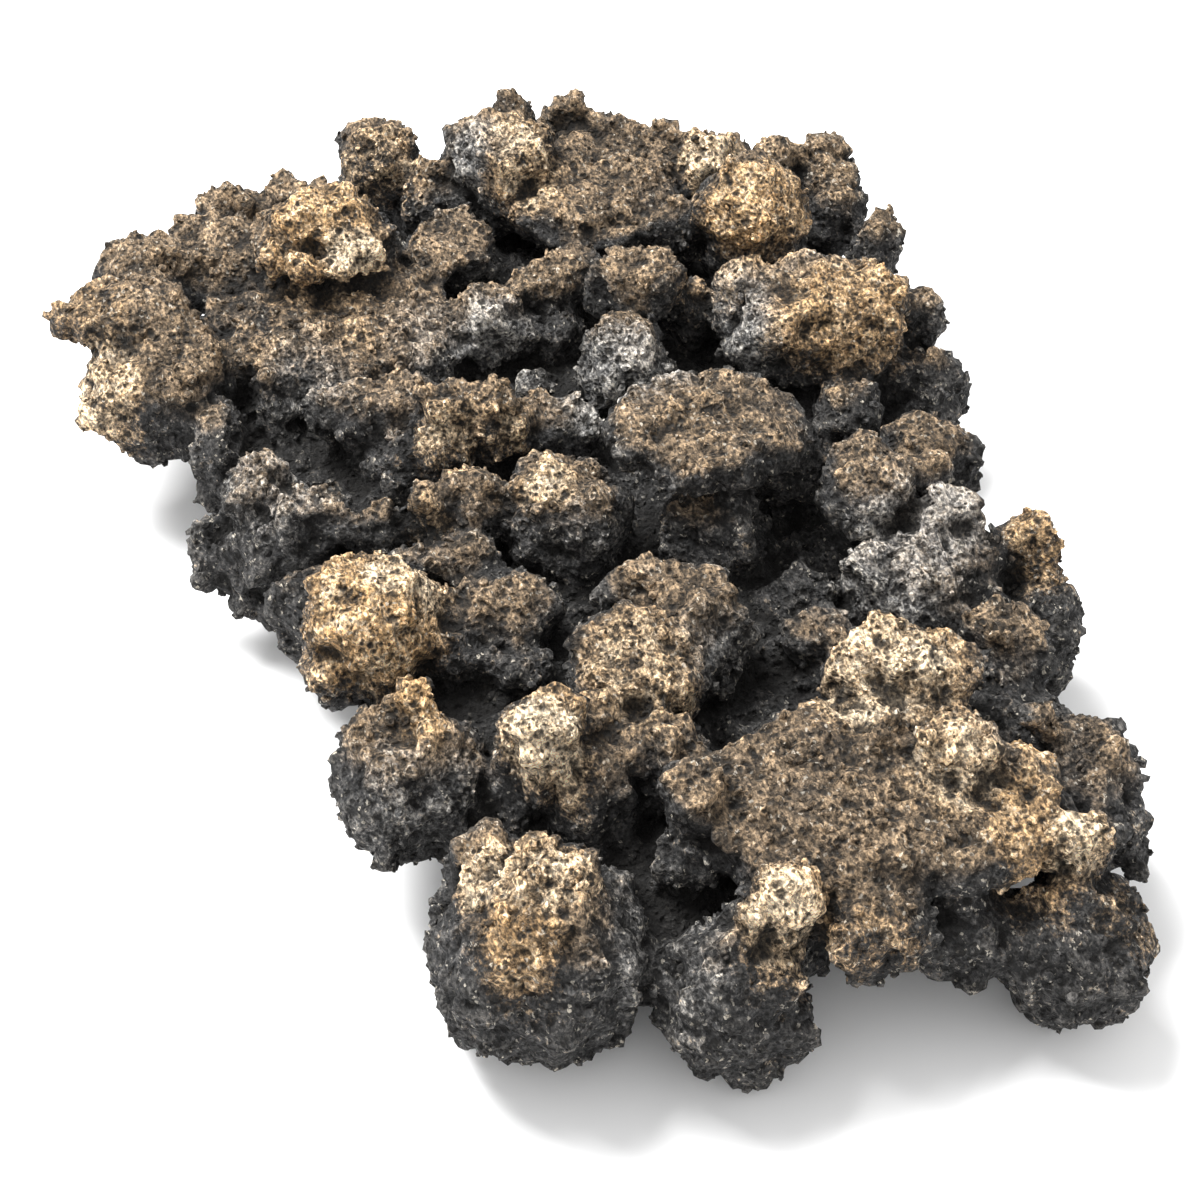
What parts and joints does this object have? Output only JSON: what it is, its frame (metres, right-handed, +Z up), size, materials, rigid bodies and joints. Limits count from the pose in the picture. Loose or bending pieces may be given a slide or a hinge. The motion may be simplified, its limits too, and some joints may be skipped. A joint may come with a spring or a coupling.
{
  "type": "lava clinker slab",
  "caption": "Rough slab of welded volcanic clinker: frothy dark lumps with rusty and cream stains, fused into one stone that lies on its broad side.",
  "frame": {"origin": "on the surface the slab lies on, under the middle of its bounding box", "axes": "+X along the slab from its narrow corner to its broad end, +Y across it, +Z up through its thickness"},
  "size_m": [0.1422, 0.0994, 0.0295],
  "materials": {
    "clinker": "dry, rough and granular, with ochre and cream stains on the upper crust"
  },
  "bodies": {
    "root": {"rock": "clinker"}
  },
  "joints": []
}
